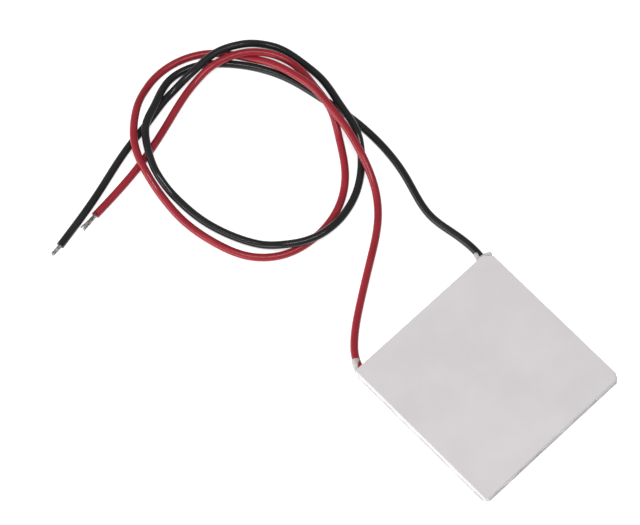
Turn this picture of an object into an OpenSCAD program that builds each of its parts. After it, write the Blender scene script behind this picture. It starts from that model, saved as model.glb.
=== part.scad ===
// Thermoelectric cooling module: two ceramic plates with rows of semiconductor pellets
// between them, joined in one series circuit by copper tabs, and sealed round the edge.
// Two insulated leads leave the edge at -X, soldered to the tabs on the hot plate.
// Origin: centre of the hot plate's outer face. +Z runs through the plates to the cold face.

/* [Plates] */
// Length of both plates along X
plate_l = 40; // [32:0.5:55]
// Width of both plates along Y
plate_w = 40; // [32:0.5:55]
// Thickness of the hot plate, at the bottom
hot_plate_t = 0.8; // [0.5:0.05:1.5]
// Thickness of the cold plate, at the top
cold_plate_t = 0.8; // [0.5:0.05:1.5]
// Chipped corner of the cold plate beside the red lead
cold_chip_red = 0.4; // [0.2:0.1:1]
// Chipped corner of the cold plate beside the black lead
cold_chip_black = 1.7; // [0.2:0.1:2]
// Chipped corner of the cold plate at +X +Y
cold_chip_far = 1; // [0.2:0.1:1.1]
// Chipped corner of the cold plate at +X -Y
cold_chip_near = 0.5; // [0.2:0.1:1.1]
// Small corner cut of the hot plate
hot_chip = 0.4; // [0.2:0.1:1.1]
// Chipped corner of the hot plate at +X -Y
hot_chip_near = 1.3; // [0.2:0.1:1.3]

/* [Pellets and tabs] */
// Side of a square pellet
pellet_w = 1.4; // [0.8:0.1:1.8]
// Height of a pellet
pellet_h = 1.6; // [1.4:0.1:3]
// Distance from one pellet to the next
pellet_pitch = 2.45; // [2.4:0.05:3]
// Thickness of a copper tab
tab_t = 0.3; // [0.2:0.05:0.5]
// Width of copper that shows round a pellet
tab_edge = 0.12; // [0.05:0.01:0.15]
// Least gap between the outermost tabs and the wall of sealant
tab_gap = 0.05; // [0.05:0.05:2]

/* [Edge sealant] */
// Thickness of the wall of sealant between the plates
seal_t = 0.6; // [0.3:0.05:1.5]
// Distance of the sealant behind the plates' edge
seal_recess = 0.15; // [0.05:0.05:0.15]
// Radius of the dab of sealant on the red lead, at the plates
red_dab_r = 1; // [0.9:0.05:1]
// Radius of the dab of sealant on the black lead, at the plates
black_dab_r = 0.95; // [0.9:0.05:1]

/* [Leads] */
// Outside diameter of the insulation
lead_d = 1.75; // [1.4:0.05:1.8]
// Gap between the insulation and its hole in the sealant
lead_gap = 0.02; // [0.01:0.01:0.05]
// Diameter of the twisted conductor
core_d = 0.76; // [0.5:0.02:0.85]
// Thickness of solder under the conductor
solder_film = 0.06; // [0.03:0.01:0.1]
// Thickness of solder beside and over the conductor
solder_wall = 0.2; // [0.1:0.05:0.3]
// Length of a solder joint
solder_l = 1.2; // [0.8:0.1:1.4]
// Diameter of the tinned end of the black lead
tinned_d = 0.86; // [0.6:0.02:1]
// Diameter of one loose strand of the red lead
strand_d = 0.28; // [0.15:0.01:0.3]
// Distance between the axes of neighbouring strands
strand_pitch = 0.33; // [0.31:0.01:0.35]

/* [Hidden] */
$fn = 48;

// Heights of the stack, from the hot face up
hot_tab_z = hot_plate_t;
pellet_z = hot_tab_z + tab_t;
cold_tab_z = pellet_z + pellet_h;
cold_plate_z = cold_tab_z + tab_t;
gap_h = cold_plate_z - hot_plate_t;
lead_z = hot_plate_t + gap_h / 2;

// Grid of pellet places: an even number of columns along X and of rows along Y
tab_w = pellet_w + 2 * tab_edge;
tab_l = pellet_pitch + tab_w;
tab_margin = seal_recess + seal_t + tab_gap;
function even_count(side) =
    2 * floor(((side - 2 * tab_margin - tab_w) / pellet_pitch + 1) / 2 + 0.02);
columns = even_count(plate_l);
rows = even_count(plate_w);
function column_x(i) = (i - (columns - 1) / 2) * pellet_pitch;
function row_y(j) = (j - (rows - 1) / 2) * pellet_pitch;

// Leads pass through the sealant in line with the first and the last row
seal_x = plate_l / 2 - seal_recess;
seal_y = plate_w / 2 - seal_recess;
core_x = -seal_x + seal_t;
straight_out = 0.3;
solder_shift = 0.2;
lead_y = row_y(rows - 1);
exit_x = -plate_l / 2 - straight_out;
core_z = pellet_z + solder_film + core_d / 2;
joint_x = column_x(0) - solder_l / 2 + solder_shift;

// Routes of the two leads: two points in the sealant, and then the bends and crossings of
// the loose loop that the leads lie in, on the surface below. The bends' X is measured from
// the plates' edge.
black_bends = [
    [-1.5, 18.5, 1.8], [-7, 18.5, 1.1], [-15, 17.5, 0.9], [-25.5, 20, 0.9],
    [-36, 21.5, 0.9], [-45, 21, 0.9], [-53, 19.5, 0.9], [-61, 17.5, 0.9],
    [-68.3, 13.8, 0.9], [-73.5, 9.5, 0.9], [-77.5, 4, 0.9], [-78.5, -3, 1],
    [-76, -8.5, 2.7], [-74, -13, 2.7], [-70, -16.5, 2.8], [-64, -19.3, 2.4],
    [-57, -20, 0.9], [-49.5, -19.5, 0.9], [-42.5, -17.5, 0.9], [-36.5, -14.5, 1.1],
    [-31, -9.5, 2.6], [-28, -2.5, 2.7], [-28.5, 4.5, 1.7], [-31, 10.5, 0.9],
    [-35, 15.5, 1], [-41, 19.5, 2.7], [-47.5, 21, 2.8], [-54, 22.5, 2],
    [-62, 22.5, 0.9], [-69, 20.5, 0.9], [-73.5, 15.5, 2.4], [-76, 9, 2.8],
    [-76, 2.5, 2.7], [-76, -4.5, 0.9], [-74.5, -12, 0.9], [-73, -19.5, 0.9],
    [-69.5, -31.5, 0.9], [-66, -46, 0.9]
];
red_bends = [
    [-1.5, -18, 1.8], [-5.5, -15, 1.2], [-11, -8, 0.9], [-17, 1, 0.9],
    [-23, 9, 0.9], [-29, 13.5, 1.7], [-35.5, 16, 3.4], [-41, 17.5, 4],
    [-47.5, 18.5, 4.4], [-53.5, 19, 4.6], [-59, 18.5, 3.8], [-65.5, 17, 2.4],
    [-71.5, 14, 0.9], [-77, 9.5, 0.9], [-81, 1.5, 0.9], [-81, -6, 0.9],
    [-77.5, -13, 2.7], [-72.5, -18, 2.7], [-66.5, -20.7, 2.7], [-60, -22, 1.4],
    [-51.5, -22.5, 0.9], [-43, -21, 0.9], [-36, -18, 0.9], [-31, -12.5, 0.9],
    [-29, -4.5, 0.9], [-30.5, 4, 0.9], [-35.5, 11, 0.9], [-42, 15.5, 1.3],
    [-49, 19, 2.7], [-55, 20, 2.7], [-62, 20.5, 2.1], [-68, 18, 2.5],
    [-72, 13.5, 2.7], [-74, 7.5, 2.7], [-74, 1, 1.5], [-71, -10, 0.9],
    [-68, -21, 0.9], [-66, -35.5, 0.9]
];
function lead_route(side, bends) = concat(
    [[core_x, side * lead_y, lead_z], [exit_x, side * lead_y, lead_z]],
    [for (bend = bends) bend - [plate_l / 2, 0, 0]]
);
black_route = lead_route(1, black_bends);
red_route = lead_route(-1, red_bends);

// Unit vectors: along a route at a point, level across it, and upwards from it
function unit(v) = v / norm(v);
function along(route, i) =
    unit(route[min(i + 1, len(route) - 1)] - route[max(i - 1, 0)]);
function across(dir) = unit(cross(dir, [0, 0, 1]));
function above(dir) = cross(across(dir), dir);
function around(dir, r, turn) = r * (across(dir) * cos(turn) + above(dir) * sin(turn));

// Tube of diameter d swept along a route, with one ring of eight corners at each point
module swept_tube(route, d) {
    sides = 8;
    rings = len(route);
    corners = [
        for (i = [0 : rings - 1], k = [0 : sides - 1])
            route[i] + around(along(route, i), d / 2, 360 * (k + 0.5) / sides)
    ];
    walls = [
        for (i = [0 : rings - 2], k = [0 : sides - 1])
            let (a = i * sides + k, b = i * sides + (k + 1) % sides)
                for (face = [[a, b, a + sides], [b, b + sides, a + sides]]) face
    ];
    first_end = [for (k = [sides - 1 : -1 : 0]) k];
    last_end = [for (k = [0 : sides - 1]) (rings - 1) * sides + k];
    polyhedron(points = corners, faces = concat(walls, [first_end, last_end]));
}

// Ceramic plate with its corners cut: [-X -Y, -X +Y, +X +Y, +X -Y]
module ceramic_plate(thickness, chips) {
    x = plate_l / 2;
    y = plate_w / 2;
    linear_extrude(thickness)
        polygon([
            [-x + chips[0], -y], [-x, -y + chips[0]],
            [-x, y - chips[1]], [-x + chips[1], y],
            [x - chips[2], y], [x, y - chips[2]],
            [x, -y + chips[3]], [x - chips[3], -y]
        ]);
}

// Copper tab that joins the places (i, j) and the next one along X
module link_tab(i, j) {
    translate([column_x(i) - tab_w / 2, row_y(j) - tab_w / 2, 0])
        cube([tab_l, tab_w, tab_t]);
}

// Copper tab that joins the places (i, j) and the next one along Y
module turn_tab(i, j) {
    translate([column_x(i) - tab_w / 2, row_y(j) - tab_w / 2, 0])
        cube([tab_w, tab_l, tab_t]);
}

// A lead takes the place of the pellet at both corners of the -X side
function is_lead_place(i, j) = i == 0 && (j == 0 || j == rows - 1);

// Pellets of one type stand on every other place, as on a chessboard
module pellets(parity) {
    for (i = [0 : columns - 1], j = [0 : rows - 1])
        if ((i + j) % 2 == parity && !is_lead_place(i, j))
            translate([column_x(i) - pellet_w / 2, row_y(j) - pellet_w / 2, pellet_z])
                cube([pellet_w, pellet_w, pellet_h]);
}

module hot_plate() {
    color("gainsboro")
        ceramic_plate(hot_plate_t, [hot_chip, hot_chip, hot_chip, hot_chip_near]);
}

module cold_plate() {
    color("whitesmoke")
        translate([0, 0, cold_plate_z])
            ceramic_plate(
                cold_plate_t,
                [cold_chip_red, cold_chip_black, cold_chip_far, cold_chip_near]
            );
}

// Straight tabs on the hot plate, in every row, less the two that carry the leads
module hot_link_tabs() {
    color("peru")
        translate([0, 0, hot_tab_z])
            for (i = [0 : 2 : columns - 2], j = [0 : rows - 1])
                if (!is_lead_place(i, j))
                    link_tab(i, j);
}

// Straight tabs under the cold plate, set one place along from those on the hot plate
module cold_link_tabs() {
    color("peru")
        translate([0, 0, cold_tab_z])
            for (i = [1 : 2 : columns - 3], j = [0 : rows - 1])
                link_tab(i, j);
}

// Tabs under the cold plate that carry the current from one row to the next
module cold_turn_tabs() {
    color("peru")
        translate([0, 0, cold_tab_z]) {
            for (j = [0 : 2 : rows - 2])
                turn_tab(columns - 1, j);
            for (j = [1 : 2 : rows - 3])
                turn_tab(0, j);
        }
}

module red_terminal_tab() {
    color("peru")
        translate([0, 0, hot_tab_z])
            link_tab(0, 0);
}

module black_terminal_tab() {
    color("peru")
        translate([0, 0, hot_tab_z])
            link_tab(0, rows - 1);
}

module n_type_pellets() {
    color("dimgray")
        pellets(1);
}

module p_type_pellets() {
    color("slategray")
        pellets(0);
}

// Wall of silicone rubber between the plates, all round, with a hole for each lead
module edge_sealant() {
    color("white")
        difference() {
            translate([-seal_x, -seal_y, hot_plate_t])
                cube([2 * seal_x, 2 * seal_y, gap_h]);
            translate([-seal_x + seal_t, -seal_y + seal_t, hot_plate_t - 1])
                cube([2 * (seal_x - seal_t), 2 * (seal_y - seal_t), gap_h + 2]);
            for (side = [-1, 1])
                translate([-seal_x - 1, side * lead_y, lead_z])
                    rotate([0, 90, 0])
                        cylinder(h = seal_t + 2, d = lead_d + 2 * lead_gap);
        }
}

// Conductor from the end of the insulation down to its solder joint, side -1 or 1
module lead_core(side) {
    straight = 0.15;
    slope = 0.35;
    swept_tube([
        [core_x, side * lead_y, lead_z],
        [core_x + straight, side * lead_y, lead_z],
        [core_x + straight + slope, side * lead_y, core_z],
        [joint_x + solder_l, side * lead_y, core_z]
    ], core_d);
}

// Solder round the conductor on the terminal tab, with sloped sides
module solder_joint(side) {
    height = core_z + core_d / 2 + solder_wall - pellet_z;
    foot = core_d / 2 + 1.4 * solder_wall;
    foot_h = 0.25;
    crown = core_d / 2;
    difference() {
        translate([joint_x, side * lead_y, pellet_z])
            rotate([90, 0, 90])
                linear_extrude(solder_l)
                    polygon([
                        [-foot, 0], [foot, 0], [foot, foot_h],
                        [crown, height], [-crown, height], [-foot, foot_h]
                    ]);
        lead_core(side);
    }
}

// Dab of silicone over a lead and the sealant that it comes out of
module exit_sealant(route, balls) {
    difference() {
        hull()
            for (ball = balls)
                translate([ball[0], ball[1], ball[2]])
                    sphere(r = ball[3], $fn = 28);
        swept_tube([for (i = [0 : 4]) route[i]], lead_d + 2 * lead_gap);
        translate([-seal_x, -plate_w, -1])
            cube([plate_l, 2 * plate_w, gap_h + 4]);
    }
}

module red_lead_core() {
    color("silver")
        lead_core(-1);
}

module black_lead_core() {
    color("silver")
        lead_core(1);
}

module red_solder_joint() {
    color("lightgray")
        solder_joint(-1);
}

module black_solder_joint() {
    color("lightgray")
        solder_joint(1);
}

// It lies on the outer side of the red lead, which stays bare on the inner side
module red_exit_sealant() {
    color("white")
        exit_sealant(red_route, [
            [-seal_x - 0.6, -lead_y - 0.55, lead_z, red_dab_r],
            [-seal_x - 2.6, -lead_y + 0.6, lead_z - 0.1, 0.75]
        ]);
}

module black_exit_sealant() {
    color("white")
        exit_sealant(black_route, [
            [-seal_x - 0.3, lead_y - 0.35, lead_z, black_dab_r],
            [-seal_x - 1.5, lead_y - 0.15, lead_z + 0.1, 0.85]
        ]);
}

module red_lead() {
    color("firebrick")
        swept_tube(red_route, lead_d);
}

module black_lead() {
    color([0.13, 0.13, 0.14])
        swept_tube(black_route, lead_d);
}

// Seven loose strands, each straight out of the insulation and then spreading
module red_lead_strands() {
    last = len(red_route) - 1;
    dir = along(red_route, last);
    start = red_route[last];
    straight = 0.9;
    spread = 1.7;
    lengths = [4.3, 3.9, 4.5, 4.1, 3.6, 4.4, 4];
    color("silver")
        for (k = [0 : 6]) {
            r = k == 0 ? 0 : strand_pitch;
            foot = start + around(dir, r, 60 * k);
            tip = start + around(dir, spread * r, 60 * k) + dir * lengths[k];
            swept_tube([foot, foot + dir * straight, tip], strand_d);
        }
}

// Twisted and tinned strands, bent once towards the surface
module black_lead_tinned_end() {
    last = len(black_route) - 1;
    dir = along(black_route, last);
    start = black_route[last];
    bend = start + dir * 1.2;
    tip = bend + [0.05, -1.55, -0.25];
    color("silver")
        swept_tube([start, bend, tip], tinned_d);
}

hot_plate();
cold_plate();
hot_link_tabs();
cold_link_tabs();
cold_turn_tabs();
red_terminal_tab();
black_terminal_tab();
n_type_pellets();
p_type_pellets();
edge_sealant();
red_lead_core();
black_lead_core();
red_solder_joint();
black_solder_joint();
red_exit_sealant();
black_exit_sealant();
red_lead();
black_lead();
red_lead_strands();
black_lead_tinned_end();
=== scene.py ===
import math

import bpy
import numpy as np
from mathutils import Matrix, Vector


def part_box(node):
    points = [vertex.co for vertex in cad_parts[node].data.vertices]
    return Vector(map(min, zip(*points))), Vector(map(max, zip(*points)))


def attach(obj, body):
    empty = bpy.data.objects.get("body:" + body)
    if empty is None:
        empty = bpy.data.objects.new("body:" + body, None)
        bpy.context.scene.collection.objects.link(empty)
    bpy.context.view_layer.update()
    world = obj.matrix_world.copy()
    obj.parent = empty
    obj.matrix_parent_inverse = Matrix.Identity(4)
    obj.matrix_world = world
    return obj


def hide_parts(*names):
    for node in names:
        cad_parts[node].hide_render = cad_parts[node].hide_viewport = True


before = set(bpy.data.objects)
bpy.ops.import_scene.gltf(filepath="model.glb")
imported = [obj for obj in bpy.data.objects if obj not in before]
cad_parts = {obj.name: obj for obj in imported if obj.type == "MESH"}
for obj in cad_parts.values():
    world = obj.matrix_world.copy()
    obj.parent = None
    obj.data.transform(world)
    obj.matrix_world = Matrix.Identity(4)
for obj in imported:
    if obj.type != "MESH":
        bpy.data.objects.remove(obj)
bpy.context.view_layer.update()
mm = 0.001


# ---------------------------------------------------------------------------------------
# Camera. It looks down on the module over its near corner, from well above the surface,
# with a long lens, so that the square plates stand on one corner and the leads lie behind.
# ---------------------------------------------------------------------------------------
view_azimuth = math.radians(46.4)
view_elevation = math.radians(68.7)
view_distance = 698.5 * mm
aim = Vector((-44.25, -7.37, 0)) * mm
towards_camera = Vector((
    math.sin(view_azimuth) * math.cos(view_elevation),
    -math.cos(view_azimuth) * math.cos(view_elevation),
    math.sin(view_elevation),
))
camera = bpy.data.objects.new("camera", bpy.data.cameras.new("camera"))
bpy.context.scene.collection.objects.link(camera)
camera.data.lens = 180
camera.data.sensor_width = 36
camera.data.clip_start = 10 * mm
camera.data.clip_end = 10
camera.location = aim + towards_camera * view_distance
camera.rotation_mode = "QUATERNION"
camera.rotation_quaternion = (-towards_camera).to_track_quat("-Z", "Y")
bpy.context.scene.camera = camera


# ---------------------------------------------------------------------------------------
# Leads. Stranded wire in smooth extruded insulation, red for plus and black for minus.
# Each comes out of the sealant at -X, lies in two loose turns on the surface, over and
# under the other one, and is stripped at its far end.
# ---------------------------------------------------------------------------------------
lead_radius = 0.875 * mm
lead_sides = 24
lead_step = 0.45 * mm
swelling = 0.006
cut_rings = 5
cut_edge = 0.04 * mm
cut_depth = 0.25 * mm
conductor_radius = 0.44 * mm
black_lead_length = 285 * mm
red_lead_length = 293 * mm
# A bend 0.9 high lies on the surface, one near 2.7 passes over a lead, one of 4 over two.
black_bends = np.array([
    [-1.5, 18.5, 1.8], [-7, 18.5, 1.1], [-15, 17.5, 0.9], [-25.5, 20, 0.9],
    [-36, 21.5, 0.9], [-45, 21, 0.9], [-53, 19.5, 0.9], [-61, 17.5, 0.9],
    [-68.3, 13.8, 0.9], [-73.5, 9.5, 0.9], [-77.5, 4, 0.9], [-78.5, -3, 1],
    [-76, -8.5, 2.7], [-74, -13, 2.7], [-70, -16.5, 2.8], [-64, -19.3, 2.4],
    [-57, -20, 0.9], [-49.5, -19.5, 0.9], [-42.5, -17.5, 0.9], [-36.5, -14.5, 1.1],
    [-31, -9.5, 2.6], [-28, -2.5, 2.7], [-28.5, 4.5, 1.7], [-31, 10.5, 0.9],
    [-35, 15.5, 1], [-41, 19.5, 2.7], [-47.5, 21, 2.8], [-54, 22.5, 2],
    [-62, 22.5, 0.9], [-69, 20.5, 0.9], [-73.5, 15.5, 2.4], [-76, 9, 2.8],
    [-76, 2.5, 2.7], [-76, -4.5, 0.9], [-74.5, -12, 0.9], [-73, -19.5, 0.9],
    [-69.5, -31.5, 0.9], [-66, -46, 0.9],
]) * mm
red_bends = np.array([
    [-1.5, -18, 1.8], [-5.5, -15, 1.2], [-11, -8, 0.9], [-17, 1, 0.9],
    [-23, 9, 0.9], [-29, 13.5, 1.7], [-35.5, 16, 3.4], [-41, 17.5, 4],
    [-47.5, 18.5, 4.4], [-53.5, 19, 4.6], [-59, 18.5, 3.8], [-65.5, 17, 2.4],
    [-71.5, 14, 0.9], [-77, 9.5, 0.9], [-81, 1.5, 0.9], [-81, -6, 0.9],
    [-77.5, -13, 2.7], [-72.5, -18, 2.7], [-66.5, -20.7, 2.7], [-60, -22, 1.4],
    [-51.5, -22.5, 0.9], [-43, -21, 0.9], [-36, -18, 0.9], [-31, -12.5, 0.9],
    [-29, -4.5, 0.9], [-30.5, 4, 0.9], [-35.5, 11, 0.9], [-42, 15.5, 1.3],
    [-49, 19, 2.7], [-55, 20, 2.7], [-62, 20.5, 2.1], [-68, 18, 2.5],
    [-72, 13.5, 2.7], [-74, 7.5, 2.7], [-74, 1, 1.5], [-71, -10, 0.9],
    [-68, -21, 0.9], [-66, -35.5, 0.9],
]) * mm
plate_edge_x = -20 * mm
inner_end_x = -19.25 * mm
exit_x = -20.3 * mm
exit_y = 18.375 * mm
exit_z = 1.9 * mm


def lead_route(side, bends):
    """Points of a lead's route: straight out past the plates' edge, then its bends, whose X
    is measured from that edge."""
    return np.concatenate([
        [[inner_end_x, side * exit_y, exit_z], [exit_x, side * exit_y, exit_z]],
        bends + [plate_edge_x, 0, 0],
    ])


black_route = lead_route(1, black_bends)
red_route = lead_route(-1, red_bends)


def smooth_path(points, step):
    """Points about `step` apart on a smooth curve through the given ones. Distance from point
    to point is the parameter. Along X and Y each span is a cubic whose bend matches its
    neighbour's at both ends (a natural spline). The height is a cubic whose slopes are the
    harmonic mean of the neighbouring ones, and zero at a turn, so it never overshoots."""
    spans = np.linalg.norm(np.diff(points, axis=0), axis=1)
    knots = np.concatenate([[0], np.cumsum(spans)])
    rises = np.diff(points, axis=0) / spans[:, None]
    inner = np.arange(1, len(points) - 1)
    system = np.eye(len(points))
    system[inner, inner - 1] = spans[:-1]
    system[inner, inner] = 2 * (spans[:-1] + spans[1:])
    system[inner, inner + 1] = spans[1:]
    turns = np.zeros((len(points), 2))
    turns[inner] = 6 * np.diff(rises[:, :2], axis=0)
    bends = np.linalg.solve(system, turns)
    slopes = np.zeros(len(points))
    before, after = rises[:-1, 2], rises[1:, 2]
    same_way = before * after > 0
    slopes[inner[same_way]] = (2 * before * after)[same_way] / (before + after)[same_way]
    at = np.linspace(0, knots[-1], int(round(knots[-1] / step)) + 1)
    span = np.clip(np.searchsorted(knots, at, side="right") - 1, 0, len(spans) - 1)
    h = spans[span][:, None]
    t = (at - knots[span])[:, None] / h
    level = (
        (1 - t) * points[span, :2] + t * points[span + 1, :2]
        + h**2 / 6 * (((1 - t)**3 - (1 - t)) * bends[span] + (t**3 - t) * bends[span + 1])
    )
    t, h = t[:, 0], h[:, 0]
    height = (
        (2 * t**3 - 3 * t**2 + 1) * points[span, 2] + (t**3 - 2 * t**2 + t) * h * slopes[span]
        + (3 * t**2 - 2 * t**3) * points[span + 1, 2] + (t**3 - t**2) * h * slopes[span + 1]
    )
    return np.column_stack([level, height])


def directions(path):
    """Unit vectors at each point of a path: along it, level across it, and upwards from it."""
    along = np.gradient(path, axis=0)
    along /= np.linalg.norm(along, axis=1)[:, None]
    across = np.cross(along, [0, 0, 1])
    across /= np.linalg.norm(across, axis=1)[:, None]
    return along, across, np.cross(across, along)


def tube(path, radius, sides, push=0.0):
    """A closed skin round a path: at each point a ring, each of whose corners lies `radius` out
    from the path at its own angle, moved `push` along it. The radius is given for each ring or
    for each of its corners. Both ends close at a single corner."""
    along, across, above = directions(path)
    angle = np.linspace(0, 2 * np.pi, sides, endpoint=False)
    out = (
        across[:, None] * np.cos(angle)[None, :, None]
        + above[:, None] * np.sin(angle)[None, :, None]
    )
    radius = np.broadcast_to(np.reshape(radius, (len(path), -1)), (len(path), sides))
    push = np.broadcast_to(push, (len(path), sides))
    rings = path[:, None] + out * radius[..., None] + along[:, None] * push[..., None]
    corners = np.concatenate([rings.reshape(-1, 3), rings[:1].mean(1), rings[-1:].mean(1)])
    return corners, len(path), sides


def skin_faces(rings, sides):
    """Faces of a tube, pointing outwards: quads between rings, and a fan at each end."""
    ring = np.arange(rings - 1)[:, None] * sides
    here = np.arange(sides)[None]
    there = (here + 1) % sides
    walls = np.stack([ring + here, ring + sides + here, ring + sides + there, ring + there], -1)
    last = (rings - 1) * sides
    first_pole = np.full(sides, rings * sides)
    start = np.stack([first_pole, here[0], there[0]], -1)
    end = np.stack([first_pole + 1, last + there[0], last + here[0]], -1)
    return walls.reshape(-1, 4).tolist() + start.tolist() + end.tolist()


def skin_map(rings, sides, length):
    """Map of a tube, corner by corner of its faces: once round it from 0 to 1, and along it
    in metres."""
    far = np.linspace(0, length, rings)
    here = np.tile(np.arange(sides), rings - 1)
    ring = np.repeat(np.arange(rings - 1), sides)
    u = np.stack([here, here, here + 1, here + 1], -1) / sides
    v = np.stack([far[ring], far[ring + 1], far[ring + 1], far[ring]], -1)
    fan = np.arange(sides) / sides
    fan_u = np.stack([fan, fan, fan + 1 / sides], -1)
    caps = [np.stack([fan_u, np.full((sides, 3), end)], -1).reshape(-1, 2) for end in (0, length)]
    return np.concatenate([np.stack([u, v], -1).reshape(-1, 2), *caps])


def new_piece(name, corners, faces, uv=None):
    """A smooth-shaded mesh object with its place in its mesh, riding on the frame."""
    mesh = bpy.data.meshes.new(name)
    mesh.from_pydata(np.asarray(corners).tolist(), [], faces)
    mesh.shade_smooth()
    if uv is not None:
        layer = mesh.uv_layers.new(name="UVMap")
        layer.uv.foreach_set("vector", np.asarray(uv, np.float32).ravel())
    piece = bpy.data.objects.new(name, mesh)
    bpy.context.scene.collection.objects.link(piece)
    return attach(piece, "root")


def insulation(name, route, length, cut):
    """Skin of a lead's insulation: a round tube along its route, which swells and thins a
    little by the product of two slow waves, with its far end cut off. `cut` gives how far the
    cut stands out at each angle round the lead. The last rings turn over the cut edge and go
    in to the conductor."""
    path = smooth_path(route, lead_step)
    end = path[-1] + (path[-1] - path[-2]) * 1e-3 * np.arange(1, cut_rings + 1)[:, None]
    path = np.concatenate([path, end])
    rings = np.arange(len(path))
    radius = lead_radius * (1 + swelling * np.sin(rings * 0.11) * np.sin(rings * 0.037))
    radius[-cut_rings:] = [
        lead_radius, lead_radius - cut_edge, lead_radius - 2 * cut_edge,
        conductor_radius + cut_edge / 2, conductor_radius,
    ]
    angle = np.linspace(0, 2 * np.pi, lead_sides, endpoint=False)
    push = np.zeros((len(path), lead_sides))
    push[-cut_rings:] = cut(angle)
    push[-cut_rings] -= cut_edge
    push[-1] = -cut_depth
    corners, rings, sides = tube(path, radius, lead_sides, push)
    return path, new_piece(name, corners, skin_faces(rings, sides),
                           skin_map(rings, sides, length))


black_path, black_lead = insulation(
    "black_insulation", black_route, black_lead_length,
    lambda angle: 0.05 * mm * np.cos(angle - 1) + 0.03 * mm * np.cos(3 * angle))
red_path, red_lead = insulation(
    "red_insulation", red_route, red_lead_length,
    lambda angle: 0.07 * mm * np.cos(2 * angle) + 0.3 * mm * np.clip(np.cos(angle), 0, 1)**6)
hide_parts("black_lead")
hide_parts("red_lead")


class Field:
    """A value that varies over a surface. It wraps a node's output, and each of Python's
    operators on it adds the Math node that does the same."""

    def __init__(self, finish, socket):
        self.finish = finish
        self.socket = socket

    def math(self, operation, *values):
        return self.finish.node("ShaderNodeMath", {"operation": operation},
                                dict(enumerate(values)))

    def __add__(self, other):
        return self.math("ADD", self, other)

    def __sub__(self, other):
        return self.math("SUBTRACT", self, other)

    def __rsub__(self, other):
        return self.math("SUBTRACT", other, self)

    def __mul__(self, other):
        return self.math("MULTIPLY", self, other)

    def __abs__(self):
        return self.math("ABSOLUTE", self)

    __radd__ = __add__
    __rmul__ = __mul__


class Finish:
    """One material. `node` adds a node of any type, with its settings and its sockets."""

    def __init__(self, name, **fixed):
        self.material = bpy.data.materials.new(name)
        self.material.use_nodes = True
        self.tree = self.material.node_tree
        self.shader = self.tree.nodes["Principled BSDF"]
        for socket, value in fixed.items():
            self.set({socket.replace("_", " "): value})

    def fill(self, inputs, values):
        for key, value in values.items():
            if isinstance(value, Field):
                self.tree.links.new(value.socket, inputs[key])
            else:
                inputs[key].default_value = value

    def node(self, kind, settings=None, sockets=None, out=0):
        """The output `out` of a new node. A ramp's stops are pairs of a place and a grey."""
        made = self.tree.nodes.new(kind)
        for key, value in (settings or {}).items():
            if key == "stops":
                made.color_ramp.elements.remove(made.color_ramp.elements[1])
                made.color_ramp.elements[0].position = value[0][0]
                made.color_ramp.elements[0].color = (*[value[0][1]] * 3, 1)
                for place, level in value[1:]:
                    made.color_ramp.elements.new(place).color = (level, level, level, 1)
            else:
                setattr(made, key, value)
        self.fill(made.inputs, sockets or {})
        return Field(self, made.outputs[out])

    def set(self, sockets):
        self.fill(self.shader.inputs, sockets)

    def place(self):
        """Object coordinates, in metres."""
        return self.node("ShaderNodeTexCoord", out="Object")

    def along(self, axis, vector):
        """One coordinate of a vector."""
        return self.node("ShaderNodeSeparateXYZ", {}, {"Vector": vector}, out=axis)

    def stretched(self, at, scale):
        return self.node("ShaderNodeMapping", {}, {"Vector": at, "Scale": scale})

    def noise(self, at, per_metre, detail=3.0, roughness=0.5):
        return self.node("ShaderNodeTexNoise", {}, {
            "Vector": at, "Scale": per_metre, "Detail": detail, "Roughness": roughness})

    def ramp(self, value, *stops):
        return self.node("ShaderNodeValToRGB", {"stops": stops}, {"Fac": value})

    def mix(self, share, first, second):
        """Colour between two others. Mix lists its colour sockets as numbers 6 and 7."""
        return self.node("ShaderNodeMix", {"data_type": "RGBA"},
                         {0: share, 6: first, 7: second}, out=2)

    def bump(self, height, depth):
        """Normal of a surface whose height rises by `depth` metres where the field is 1."""
        return self.node("ShaderNodeBump", {},
                         {"Height": height, "Distance": depth, "Strength": 1.0})

    def coat(self, *pieces):
        for piece in pieces:
            piece.data.materials.clear()
            piece.data.materials.append(self.material)


def insulation_finish(name, colour, dark, roughness):
    """Extruded plastic: fine drawn lines along the lead, slow unevenness, and a little
    handling dust that dulls it in patches."""
    finish = Finish(name, Specular_IOR_Level=0.28, IOR=1.5)
    at = finish.place()
    along = finish.node("ShaderNodeUVMap", {"uv_map": "UVMap"})
    drawn = finish.noise(finish.stretched(along, (40, 60, 1)), 1, 2)
    patches = finish.noise(at, 260, 3)
    uneven = finish.noise(at, 1400, 2)
    share = finish.ramp(patches, (0.35, 0), (0.7, 1))
    finish.set({
        "Base Color": finish.mix(share, dark, colour),
        "Roughness": roughness + 0.12 * (patches - 0.5) + 0.08 * (drawn - 0.5),
        "Normal": finish.bump(0.85 * uneven + 0.15 * drawn, 0.01 * mm),
    })
    return finish


insulation_finish("black insulation", (0.019, 0.019, 0.02, 1), (0.013, 0.013, 0.014, 1),
                  0.22).coat(black_lead)
insulation_finish("red insulation", (0.335, 0.021, 0.034, 1), (0.29, 0.016, 0.026, 1),
                  0.25).coat(red_lead)


# ---------------------------------------------------------------------------------------
# Bare ends. The red lead's strands of tinned copper are stripped and left loose. The black
# lead's are twisted and dipped in solder, which fills the grooves and rounds the tip.
# ---------------------------------------------------------------------------------------
strand_radius = 0.14 * mm
strand_spacing = 0.31 * mm
strand_rings = 26
strand_sides = 10
strand_lengths = np.array([4.3, 3.9, 4.5, 4.1, 3.6, 4.4, 4]) * mm
strand_twist = 1.1
strand_spread = 0.75
strand_wave = 0.07 * mm
tinned_length = 2.8 * mm
tinned_rings = 60
tinned_sides = 48
groove_depth = 0.16
groove_turns = 2.6
tip_swell = 0.16
tip_round = 0.16
inside = 0.24 * mm


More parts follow.
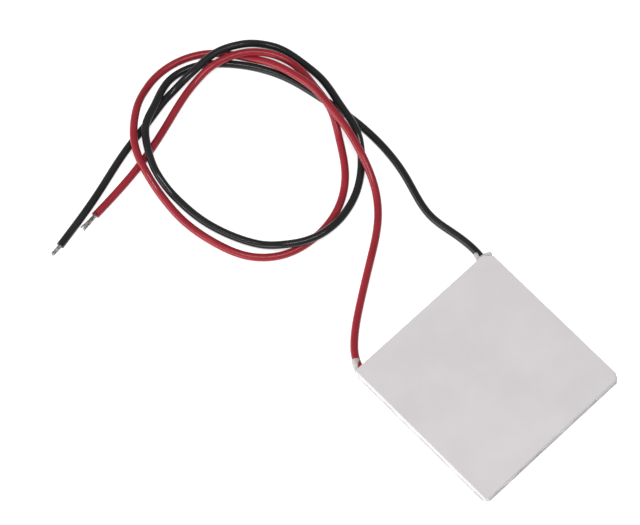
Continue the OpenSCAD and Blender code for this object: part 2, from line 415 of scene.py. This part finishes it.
def loose_strands():
    """Seven round wires, one in the middle of six. Each goes round the lead's line by a slow
    twist, and moves away from it as the square of how far out it is, with a wave of its own."""
    along, across, above = (v[-1] for v in directions(red_path[:-cut_rings]))
    foot = red_path[-cut_rings - 1]
    parts, faces, maps, used = [], [], [], 0
    for k, length in enumerate(strand_lengths):
        t = np.linspace(0, 1, strand_rings)[:, None]
        out = 0 if k == 0 else strand_spacing * (1 + strand_spread * t**2)
        turn = np.pi / 3 * k + strand_twist * t + 0.25 * np.sin(3 * k) * t**2
        wave = strand_wave * np.sin(2.4 * k + 5 * t) * t
        path = (
            foot + along * ((length + inside) * t - inside)
            + (across * np.cos(turn) + above * np.sin(turn)) * out
            + across * wave + above * 0.6 * wave
        )
        radius = np.full(strand_rings, strand_radius)
        radius[-1] = 0.75 * strand_radius
        corners, rings, sides = tube(path, radius, strand_sides)
        parts.append(corners)
        faces += [[number + used for number in face] for face in skin_faces(rings, sides)]
        maps.append(skin_map(rings, sides, length))
        used += len(corners)
    return new_piece("loose_strands", np.concatenate(parts), faces, np.concatenate(maps))


def tinned_tip(radius=0.46 * mm, straight=1.2 * mm, fall=(0.05, -1.55, -0.25)):
    """Six strands round one, under solder: a tube along a parabola, whose radius swells over
    each strand, with the swellings turning round it as they go along and fading towards the
    tip. The tip is thickened by a bell curve and rounded off as a ball is. `fall` leads from
    the parabola's knee to the tip."""
    along = directions(black_path[:-cut_rings])[0][-1]
    foot = black_path[-cut_rings - 1]
    knee = foot + along * straight
    tip = knee + np.array(fall) * mm
    t = np.linspace(0, 1, tinned_rings)
    bend = t[:, None]
    path = (1 - bend)**2 * (foot - along * inside) + 2 * bend * (1 - bend) * knee + bend**2 * tip
    angle = np.linspace(0, 2 * np.pi, tinned_sides, endpoint=False)
    strands = np.abs(np.cos(3 * (angle[None] - groove_turns * t[:, None])))
    swell = 1 + tip_swell * np.exp(-((t - 0.86) / 0.12)**2)
    to_tip = np.clip((1 - t) / tip_round, 0, 1)
    round_off = np.sqrt(np.clip(1 - (1 - to_tip)**2, 0.0004, 1))
    lobes = 1 - groove_depth + groove_depth * strands * np.clip(1.25 - t, 0.35, 1)[:, None]
    skin = radius * lobes * (swell * round_off)[:, None]
    corners, rings, sides = tube(path, skin, tinned_sides)
    return new_piece("tinned_tip", corners, skin_faces(rings, sides),
                     skin_map(rings, sides, tinned_length))


bare_strands = loose_strands()
tinned_end = tinned_tip()
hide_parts("red_lead_strands")
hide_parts("black_lead_tinned_end")


def tinned_finish(name, bright, dull, roughness):
    """Tin over copper: bright metal that has gone grey in patches, with drawing marks."""
    finish = Finish(name, Metallic=1.0)
    at = finish.place()
    along = finish.node("ShaderNodeUVMap", {"uv_map": "UVMap"})
    patches = finish.noise(at, 2600, 3, 0.6)
    marks = finish.noise(finish.stretched(along, (30, 900, 1)), 1, 2)
    share = finish.ramp(patches, (0.38, 0), (0.62, 1))
    finish.set({
        "Base Color": finish.mix(share, dull, bright),
        "Roughness": roughness + 0.2 * (patches - 0.5),
        "Normal": finish.bump(0.5 * patches + 0.5 * marks, 0.02 * mm),
    })
    return finish


tinned_finish("tinned strands", (0.50, 0.47, 0.45, 1), (0.13, 0.11, 0.10, 1),
              0.34).coat(bare_strands)
tinned_finish("soldered tip", (0.38, 0.38, 0.38, 1), (0.19, 0.18, 0.175, 1),
              0.56).coat(tinned_end)


# ---------------------------------------------------------------------------------------
# Dabs of silicone where the leads come out, pressed on by hand with a nozzle. Each is a soft
# lump that starts in the gap between the plates and lies along the lead. A bead of it runs
# over the black lead's exit, and some is left in the chipped corner beside it.
# ---------------------------------------------------------------------------------------
dab_rings = 48
dab_sides = 56
least_radius = 0.03


def dab(name, foot, nose, foot_radius, nose_radius, wobble, blunt=2):
    """A lump like a rounded cone: a straight line from the foot's back to the nose's front,
    and rings whose radius goes from one ball's to the other's, closing at either end as a
    ball does, or as a blunter superellipse. A slow wave round and along it makes it uneven."""
    foot, nose = np.array(foot) * mm, np.array(nose) * mm
    foot_radius, nose_radius = foot_radius * mm, nose_radius * mm
    line = nose - foot
    length = np.linalg.norm(line)
    line /= length
    start, stop = -foot_radius, length + nose_radius
    turn = np.linspace(0, np.pi, dab_rings)
    at = start + (stop - start) * (1 - np.cos(turn)) / 2
    share = np.clip(at / length, 0, 1)
    share = share**2 * (3 - 2 * share)
    full = foot_radius + (nose_radius - foot_radius) * share
    past = np.maximum(np.maximum(-at, at - length), 0) / full
    radius = full * np.clip(1 - past**blunt, least_radius**blunt, 1)**(1 / blunt)
    angle = np.linspace(0, 2 * np.pi, dab_sides, endpoint=False)[None]
    wave = (
        np.sin(2 * angle + 3 * share[:, None]) + 0.6 * np.sin(3 * angle - 7 * share[:, None] + 1)
        + 0.5 * np.sin(5 * angle + 9 * share[:, None] + 2)
    )
    path = foot + line * at[:, None]
    corners, rings, sides = tube(path, radius[:, None] * (1 + wobble * wave), dab_sides)
    piece = new_piece(name, corners, skin_faces(rings, sides),
                      skin_map(rings, sides, stop - start))
    return piece


red_dab = dab(
    "red_lead_dab", foot=(-20.3, -19.0, 1.9), nose=(-21.6, -18.2, 1.95),
    foot_radius=0.75, nose_radius=0.9, wobble=0.03, blunt=5)
black_dab = dab(
    "black_lead_dab", foot=(-20.1, 18.0, 1.8), nose=(-21.3, 18.15, 1.95),
    foot_radius=0.85, nose_radius=0.8, wobble=0.05)
exit_bead = dab(
    "black_exit_bead", foot=(-20.15, 17.9, 2.65), nose=(-20.15, 19.05, 2.7),
    foot_radius=0.38, nose_radius=0.3, wobble=0.07)
corner_lump = dab(
    "corner_lump", foot=(-19.72, 19.4, 2.95), nose=(-19.32, 19.82, 3.0),
    foot_radius=0.45, nose_radius=0.55, wobble=0.06)
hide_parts("red_exit_sealant")
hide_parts("black_exit_sealant")


def silicone_finish(name, pale, grey):
    """Cured silicone: cloudy, softly lumpy from the nozzle, with fine pits."""
    finish = Finish(name, Specular_IOR_Level=0.45)
    at = finish.place()
    lumps = finish.noise(at, 900, 3)
    cloud = finish.noise(at, 300, 2)
    pits = finish.ramp(finish.noise(at, 3500, 2), (0.3, 0), (0.42, 1))
    finish.set({
        "Base Color": finish.mix(finish.ramp(cloud, (0.35, 0), (0.65, 1)), grey, pale),
        "Roughness": 0.4 + 0.25 * (cloud - 0.5),
        "Normal": finish.bump(0.8 * lumps + 0.2 * pits, 0.12 * mm),
    })
    return finish


silicone_finish("pressed silicone", (0.54, 0.53, 0.52, 1),
                (0.44, 0.43, 0.42, 1)).coat(red_dab, black_dab, exit_bead)
silicone_finish("corner silicone", (0.66, 0.65, 0.64, 1),
                (0.56, 0.55, 0.54, 1)).coat(corner_lump)


# ---------------------------------------------------------------------------------------
# Ceramic plates. Fired alumina, ground flat, scribed with a laser from the outer face and
# snapped to size, which leaves a pitted line on the sides and small nicks along the edges.
# ---------------------------------------------------------------------------------------
plate_step = 0.16 * mm
plate_edge = 0.045 * mm
nicks_per_edge = 60


def cad_outline(node):
    """Corners of an upright CAD plate, clockwise as seen from above."""
    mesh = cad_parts[node].data
    places = np.empty(3 * len(mesh.vertices))
    mesh.vertices.foreach_get("co", places)
    corners = np.unique(places.reshape(-1, 3)[:, :2].round(6), axis=0)
    middle = (corners.min(0) + corners.max(0)) / 2
    return corners[np.argsort(-np.arctan2(*(corners - middle).T[::-1]))]


def walk_round(corners, step):
    """Points about `step` apart round a closed clockwise outline, the outward direction at each
    (at a corner, the one that keeps both sides at one distance), and the distance walked."""
    ahead = np.roll(corners, -1, axis=0) - corners
    lengths = np.linalg.norm(ahead, axis=1)
    ahead /= lengths[:, None]
    outward = np.column_stack([-ahead[:, 1], ahead[:, 0]])
    counts = np.maximum(2, np.round(lengths / step)).astype(int)
    side = np.repeat(np.arange(len(corners)), counts)
    first = np.cumsum(counts) - counts
    share = (np.arange(len(side)) - first[side]) / counts[side]
    points = corners[side] + ahead[side] * (lengths[side] * share)[:, None]
    normals = outward[side]
    before = np.roll(outward, 1, axis=0)
    meet = 1 + (outward * before).sum(1)
    normals[first] = (outward + before) / meet[:, None]
    walked = (np.cumsum(lengths) - lengths)[side] + lengths[side] * share
    return points, normals, walked


def bumps(walked, places, widths, heights):
    """Sum of parabolic bumps at the given places along an outline, zero outside each."""
    off = (walked[:, None] - places[None]) / widths[None]
    return (np.clip(1 - off**2, 0, None) * heights[None]).sum(1)


def nicks(walked, count, seed):
    """Depth of the small nicks that snapping leaves along an edge, at random places."""
    random = np.random.default_rng(seed)
    return bumps(walked, random.uniform(0, walked[-1], count),
                 random.uniform(0.15, 0.6, count) * mm,
                 random.uniform(0.01, 0.07, count)**1.4 * 1.9 * mm)


def ceramic_plate(name, node, seed):
    """A plate as rings round its outline, from the middle of its lower face to the middle of
    its upper face. Both edges are quarter rounds whose radius grows at each nick, and the
    sides wander by a hundredth of a millimetre. Rings close to the edges, `hold` and `rim`
    away, keep the shading of the flat faces flat."""
    low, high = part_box(node)
    points, out, walked = walk_round(cad_outline(node), plate_step)
    wander = 0.008 * mm * (np.sin(walked * 2100) + np.sin(walked * 3700 + 1) + 1)
    rim = 0.2 * mm
    hold = 0.03 * mm
    inner_share = 0.55
    lower = plate_edge + nicks(walked, nicks_per_edge, seed)
    upper = plate_edge + nicks(walked, nicks_per_edge, seed + 1)
    round_share = 1 - math.sqrt(0.5)
    still = np.zeros_like(walked)
    insets = np.array([
        still + rim, lower + hold, lower, round_share * lower + wander, wander, wander,
        wander, wander, round_share * upper + wander, upper, upper + hold, still + rim,
    ])
    heights = np.array([
        still + low.z, still + low.z, still + low.z, low.z + round_share * lower,
        low.z + lower, low.z + lower + hold, high.z - upper - hold, high.z - upper,
        high.z - round_share * upper, still + high.z, still + high.z, still + high.z,
    ])
    flat = points[None] - out[None] * insets[..., None]
    rings = np.concatenate([flat, heights[..., None]], -1)
    middle = (points.min(0) + points.max(0)) / 2
    inner = [
        np.column_stack([middle + (flat[end] - middle) * inner_share, still + z])
        for end, z in ((0, low.z), (-1, high.z))
    ]
    rings = np.concatenate([inner[:1], rings, inner[1:]])
    poles = [[*middle, low.z], [*middle, high.z]]
    piece = new_piece(name, np.concatenate([rings.reshape(-1, 3), poles]),
                      skin_faces(len(rings), len(points)))
    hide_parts(node)
    return piece


cold_plate = ceramic_plate("cold_ceramic_plate", "cold_plate", 11)
hot_plate = ceramic_plate("hot_ceramic_plate", "hot_plate", 23)

alumina = Finish("alumina", Specular_IOR_Level=0.35, IOR=1.6)
where = alumina.place()
cloud = alumina.noise(where, 95, 3, 0.55)
grain = alumina.noise(where, 9000, 2)
speck = alumina.ramp(alumina.noise(where, 2300, 2, 0.6), (0.66, 0), (0.74, 1))
facing_up = alumina.along("Z", alumina.node("ShaderNodeTexCoord", out="Normal"))
on_side = alumina.ramp(1 - abs(facing_up), (0.5, 0), (0.8, 1))
scribe_pitch = 0.11 * mm
pulse = (alumina.along("X", where) + alumina.along("Y", where)) * (2 * math.pi / scribe_pitch)
pits = 0.5 + 0.5 * pulse.math("SINE", pulse)
module_middle = 1.9 * mm
off_middle = abs(alumina.along("Z", where) - module_middle) * (1 / module_middle)
scribed = alumina.ramp(off_middle, (0.80, 0), (0.84, 1))
ground = alumina.noise(alumina.stretched(where, (2600, 150, 150)), 1, 2)
ivory = alumina.mix(alumina.ramp(cloud, (0.3, 0), (0.7, 1)),
                    (0.642, 0.614, 0.628, 1), (0.692, 0.664, 0.674, 1))
# On the side faces the base colour is mixed 15% towards a paler grey. This is painted light: it
# makes the sides look more brightly lit than the top. Specks and scribe pits are mixed towards
# the dark grey.
alumina.set({
    "Base Color": alumina.mix(
        0.10 * speck + on_side * scribed * 0.2 * pits,
        alumina.mix(0.15 * on_side, ivory, (0.78, 0.76, 0.76, 1)), (0.42, 0.40, 0.39, 1)),
    "Roughness": 0.62 + 0.15 * (cloud - 0.5) + 0.1 * (ground - 0.5),
    "Normal": alumina.bump(
        0.5 * grain + 0.3 * ground + on_side * scribed * pits * 2.0, 0.008 * mm),
})
alumina.coat(cold_plate, hot_plate)


# ---------------------------------------------------------------------------------------
# Edge sealant. White silicone pressed into the gap all round and wiped off by hand, so that
# its face wanders in and out behind the plates' edge, with a few lumps where it was left.
# ---------------------------------------------------------------------------------------
wall_thickness = 0.6 * mm
wall_step = 0.3 * mm
wall_levels = 13
corner_round = 0.7 * mm
corner_steps = 6
lump_places = np.array([
    [-20, 19.2], [-20, 15.2], [-20, -19.3], [-3, -20], [20, 6], [20, -13], [9, 20],
]) * mm
lump_widths = np.array([1.5, 0.7, 1.1, 1.2, 1.6, 0.9, 1.4]) * mm
lump_heights = np.array([0.42, 0.3, 0.4, 0.08, 0.1, 0.08, 0.12]) * mm


def silicone_wall():
    """A wall whose section is carried round a square with rounded corners. Its inner face is
    upright. Its outer face is a shallow parabola between the plates, in or out by two slow
    waves, drawn in a little where it meets them, and it swells at each lump by a parabola
    along the wall."""
    low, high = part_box("edge_sealant")
    angle = np.radians(np.linspace(90, 0, corner_steps))
    arc = np.column_stack([np.cos(angle), np.sin(angle)]) * corner_round
    half = np.array(high)[:2] - corner_round
    turns = np.array([[1, 1], [1, -1], [-1, -1], [-1, 1]])
    corners = np.concatenate([
        (half + (arc if x * y > 0 else arc[::-1])) * (x, y) for x, y in turns])
    points, out, walked = walk_round(corners, wall_step)
    share = np.linspace(0, 1, wall_levels)
    curve = 1 - (2 * share - 1)**2
    drift = 0.05 * mm * (np.sin(walked * 420) + np.sin(walked * 1130 + 2))
    belly = 0.07 * mm * (np.sin(walked * 770 + 1) + 0.6 * np.sin(walked * 2300)) - 0.03 * mm
    nearest = np.linalg.norm(points[:, None] - lump_places[None], axis=2).argmin(0)
    lumps = bumps(walked, walked[nearest], lump_widths, lump_heights)
    offset = (
        (drift + 0.5 * lumps)[:, None] + (belly + 0.9 * lumps)[:, None] * curve
        - 0.04 * mm * (2 * share - 1)**8
    )
    outer = np.concatenate([
        points[:, None] + out[:, None] * offset[..., None],
        np.broadcast_to((low.z + share * (high.z - low.z))[None, :, None],
                        (len(points), len(share), 1)),
    ], -1)
    back = points - out * wall_thickness
    inner = np.stack([
        np.column_stack([back, np.full(len(back), z)]) for z in (high.z, low.z)], 1)
    section = np.concatenate([outer, inner], 1)
    rings, sides = section.shape[:2]
    ring = np.arange(rings)[:, None] * sides
    after = (np.arange(rings)[:, None] + 1) % rings * sides
    here = np.arange(sides)[None]
    there = (here + 1) % sides
    faces = np.stack([ring + here, ring + there, after + there, after + here], -1)
    return new_piece("silicone_wall", section.reshape(-1, 3), faces.reshape(-1, 4).tolist())


sealant = silicone_wall()
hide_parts("edge_sealant")
silicone_finish("wall silicone", (0.75, 0.74, 0.725, 1),
                (0.66, 0.65, 0.63, 1)).coat(sealant)


# ---------------------------------------------------------------------------------------
# Inside. Copper tabs are bonded to the plates, pellets of n- and p-type bismuth telluride
# are soldered between them, and the leads' conductors are soldered to the last tabs.
# ---------------------------------------------------------------------------------------
def metal_finish(name, colour, tarnish, roughness, per_metre, depth):
    """Bare metal with a patchy tarnish and a fine tooth."""
    finish = Finish(name, Metallic=1.0)
    at = finish.place()
    patches = finish.noise(at, per_metre, 3)
    tooth = finish.noise(at, 9 * per_metre, 2)
    finish.set({
        "Base Color": finish.mix(finish.ramp(patches, (0.35, 0), (0.65, 1)), tarnish, colour),
        "Roughness": roughness + 0.2 * (patches - 0.5),
        "Normal": finish.bump(tooth, depth),
    })
    return finish


inside_finishes = {
    metal_finish("copper tab", (0.84, 0.44, 0.27, 1), (0.6, 0.3, 0.19, 1), 0.35, 900,
                 0.004 * mm):
    ("hot_link_tabs", "cold_link_tabs", "cold_turn_tabs", "red_terminal_tab",
     "black_terminal_tab"),
    metal_finish("n-type crystal", (0.34, 0.33, 0.35, 1), (0.22, 0.21, 0.23, 1), 0.42, 1600,
                 0.008 * mm): ("n_type_pellets",),
    metal_finish("p-type crystal", (0.38, 0.4, 0.44, 1), (0.25, 0.26, 0.3, 1), 0.38, 1600,
                 0.008 * mm): ("p_type_pellets",),
    metal_finish("solder", (0.7, 0.7, 0.71, 1), (0.5, 0.5, 0.5, 1), 0.3, 2500,
                 0.01 * mm): ("red_solder_joint", "black_solder_joint"),
    metal_finish("tinned conductor", (0.7, 0.69, 0.68, 1), (0.45, 0.43, 0.41, 1), 0.34, 2500,
                 0.01 * mm): ("red_lead_core", "black_lead_core"),
}
for finish, nodes in inside_finishes.items():
    finish.coat(*(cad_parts[node] for node in nodes))


# ---------------------------------------------------------------------------------------
# Studio. A white surface that glows only where it is seen or mirrored, a wide soft lamp low
# on the -Y side, a strip lamp overhead that draws the thin lights along the leads, and an
# even white sky.
# ---------------------------------------------------------------------------------------
floor_half = 2.0
floor_mesh = bpy.data.meshes.new("floor")
floor_mesh.from_pydata(
    [(x * floor_half, y * floor_half, 0) for x, y in ((-1, -1), (1, -1), (1, 1), (-1, 1))],
    [], [(0, 1, 2, 3)])
floor = bpy.data.objects.new("floor", floor_mesh)
bpy.context.scene.collection.objects.link(floor)

paper = Finish("white paper", Roughness=0.9, Specular_IOR_Level=0.1)
paper.set({"Base Color": (0.86, 0.86, 0.86, 1)})
rays = paper.tree.nodes.new("ShaderNodeLightPath")
seen = sum((Field(paper, rays.outputs[kind]) for kind in (
    "Is Camera Ray", "Is Glossy Ray", "Is Transmission Ray")), start=0.0)
paper.set({
    "Emission Color": paper.mix(seen, (0, 0, 0, 1), (1, 1, 1, 1)), "Emission Strength": 0.6})
paper.coat(floor)

sky = bpy.data.worlds.new("sky")
bpy.context.scene.world = sky
sky.use_nodes = True
sky.node_tree.nodes["Background"].inputs["Color"].default_value = (1, 1, 1, 1)
sky.node_tree.nodes["Background"].inputs["Strength"].default_value = 0.37


def soft_lamp(name, place, target, long, wide, watts):
    """A soft lamp of `long` by `wide` metres that faces its target."""
    lamp = bpy.data.lights.new(name, "AREA")
    lamp.shape = "RECTANGLE"
    lamp.size = long
    lamp.size_y = wide
    lamp.energy = watts
    holder = bpy.data.objects.new(name, lamp)
    bpy.context.scene.collection.objects.link(holder)
    holder.location = place
    holder.rotation_mode = "QUATERNION"
    holder.rotation_quaternion = (Vector(place) - Vector(target)).to_track_quat("Z", "Y")


soft_lamp("side_lamp", (-0.2, -0.95, 0.25), (-0.04, 0, 0), 1.4, 0.5, 9.5)
soft_lamp("top_lamp", (0.05, -0.08, 0.75), (-0.04, 0, 0), 0.5, 0.05, 2.6)
bpy.context.scene.view_settings.view_transform = "Standard"
